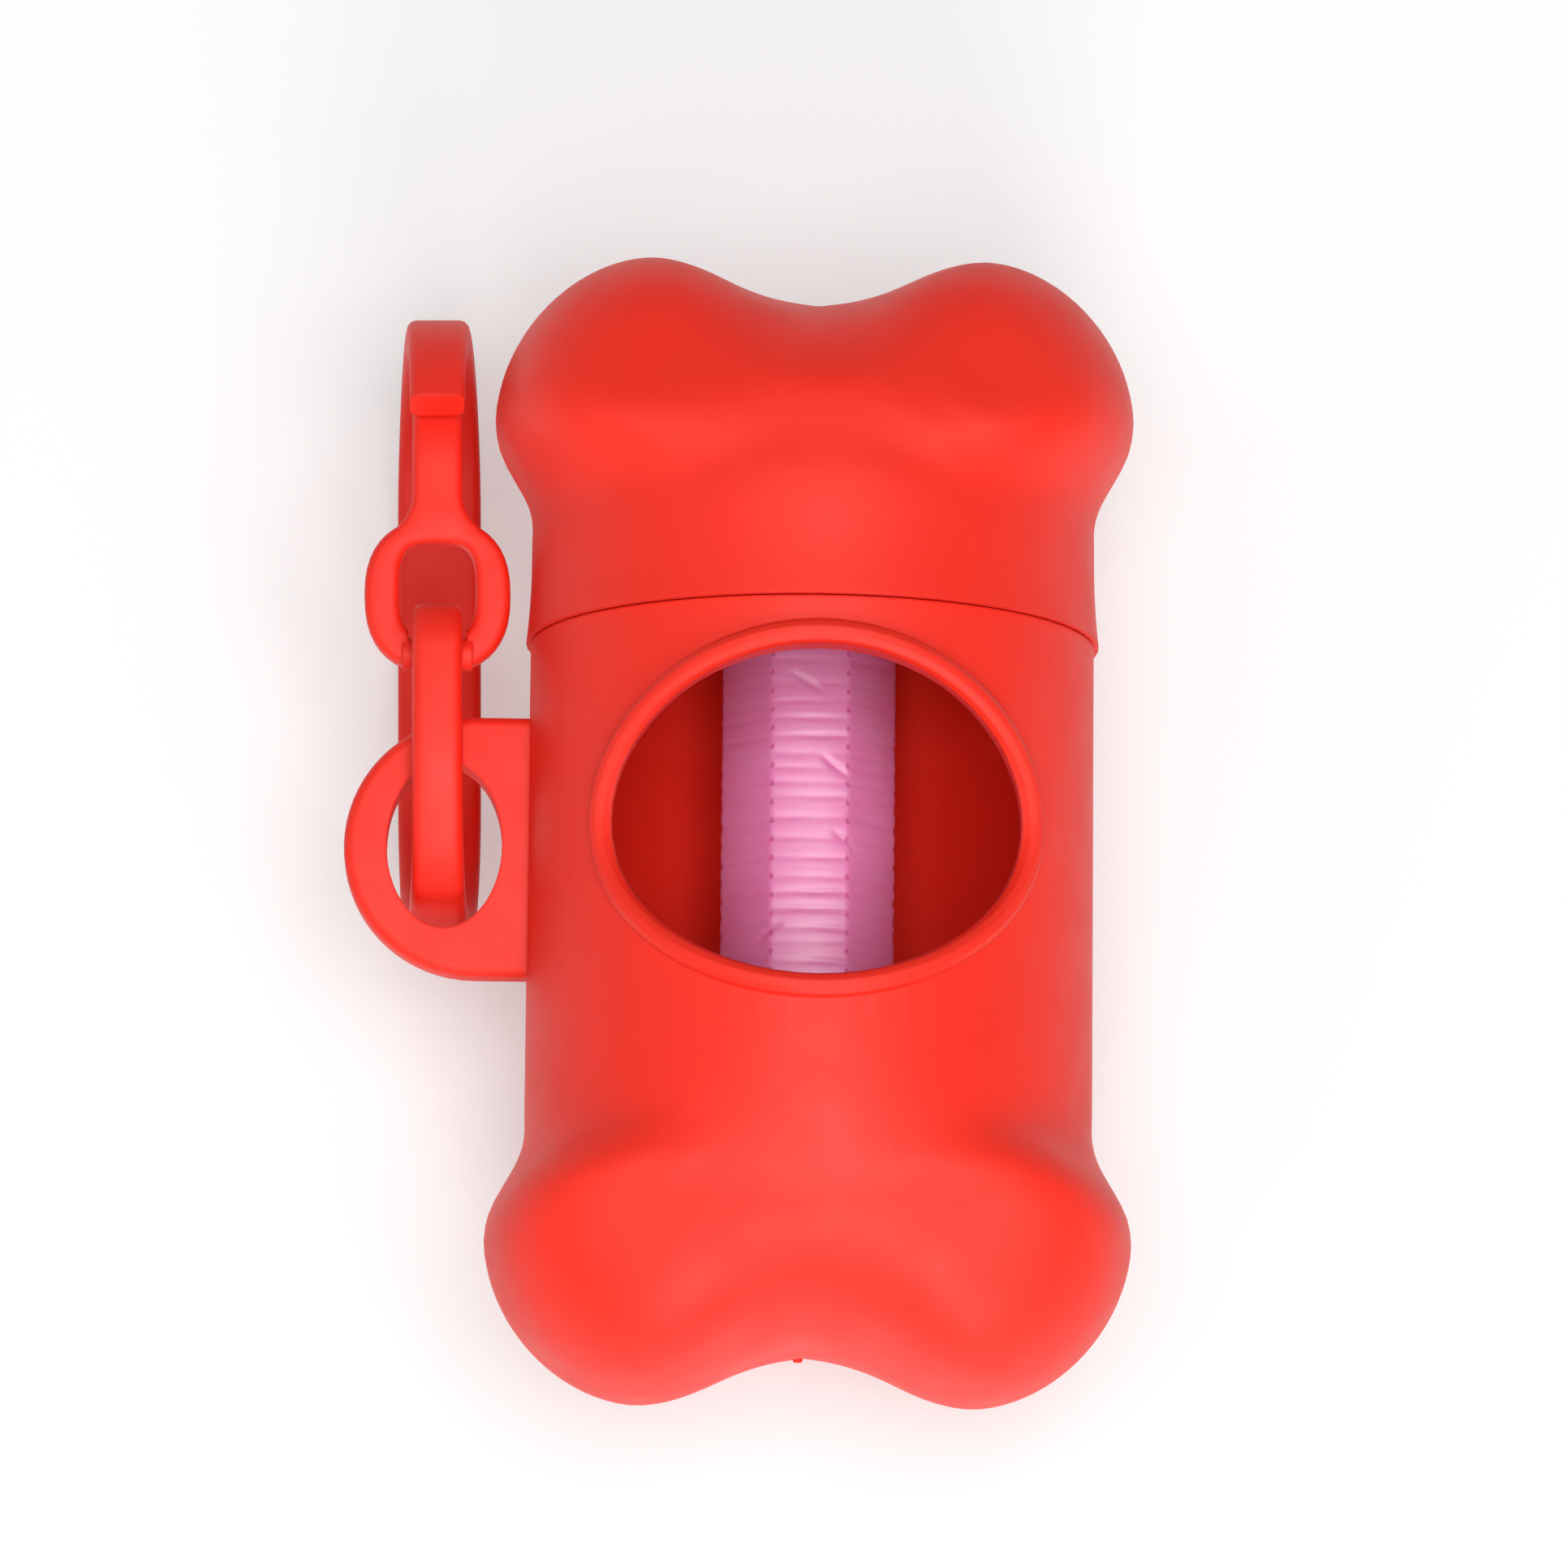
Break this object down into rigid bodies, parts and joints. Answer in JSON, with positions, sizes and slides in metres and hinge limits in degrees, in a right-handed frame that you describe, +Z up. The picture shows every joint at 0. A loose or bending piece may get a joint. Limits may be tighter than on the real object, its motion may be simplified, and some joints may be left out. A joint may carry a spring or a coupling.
{
  "type": "dog waste bag dispenser",
  "caption": "Bone-shaped bag dispenser with a pull-off end cap, a rimmed oval window over the bag roll, and a spring-gate clip hung through a side lug.",
  "frame": {"origin": "on the resting plane, under the middle of the closed bone", "axes": "X across the bone with the lug and clip on the -X side, +Y along the bone toward the pull-off cap, +Z up through the window"},
  "size_m": [0.0581, 0.0848, 0.0429],
  "materials": {
    "red_plastic": "satin moulded polypropylene",
    "bag_film": "thin wound polyethylene film",
    "core_card": "bare grey-brown cardboard"
  },
  "bodies": {
    "bone": {"cup": "red_plastic"},
    "end_cap": {"cap": "red_plastic"},
    "roll": {"bag_roll": "bag_film", "roll_core": "core_card"},
    "clip": {"clip_frame": "red_plastic"},
    "gate": {"clip_gate": "red_plastic"}
  },
  "joints": [
    {"name": "cap_pull", "type": "slide", "parent": "bone", "child": "end_cap", "axis": [0, 1, 0], "range_m": [0, 0.022]},
    {"name": "roll_spin", "type": "hinge", "parent": "bone", "child": "roll", "pos_m": [0, 0, 0.01227], "axis": [0, 1, 0], "continuous": true},
    {"name": "clip_swing", "type": "hinge", "parent": "bone", "child": "clip", "pos_m": [-0.027, -0.0032, 0.0212], "axis": [1, 0, 0], "range_deg": [0, 80]},
    {"name": "gate_open", "type": "hinge", "parent": "clip", "child": "gate", "pos_m": [-0.02773, 0.01285, 0.02182], "axis": [-0.9999, -0.0157, 0], "range_deg": [0, 28], "stiffness_Nm_per_rad": 0.02, "springref_deg": -14.9}
  ]
}
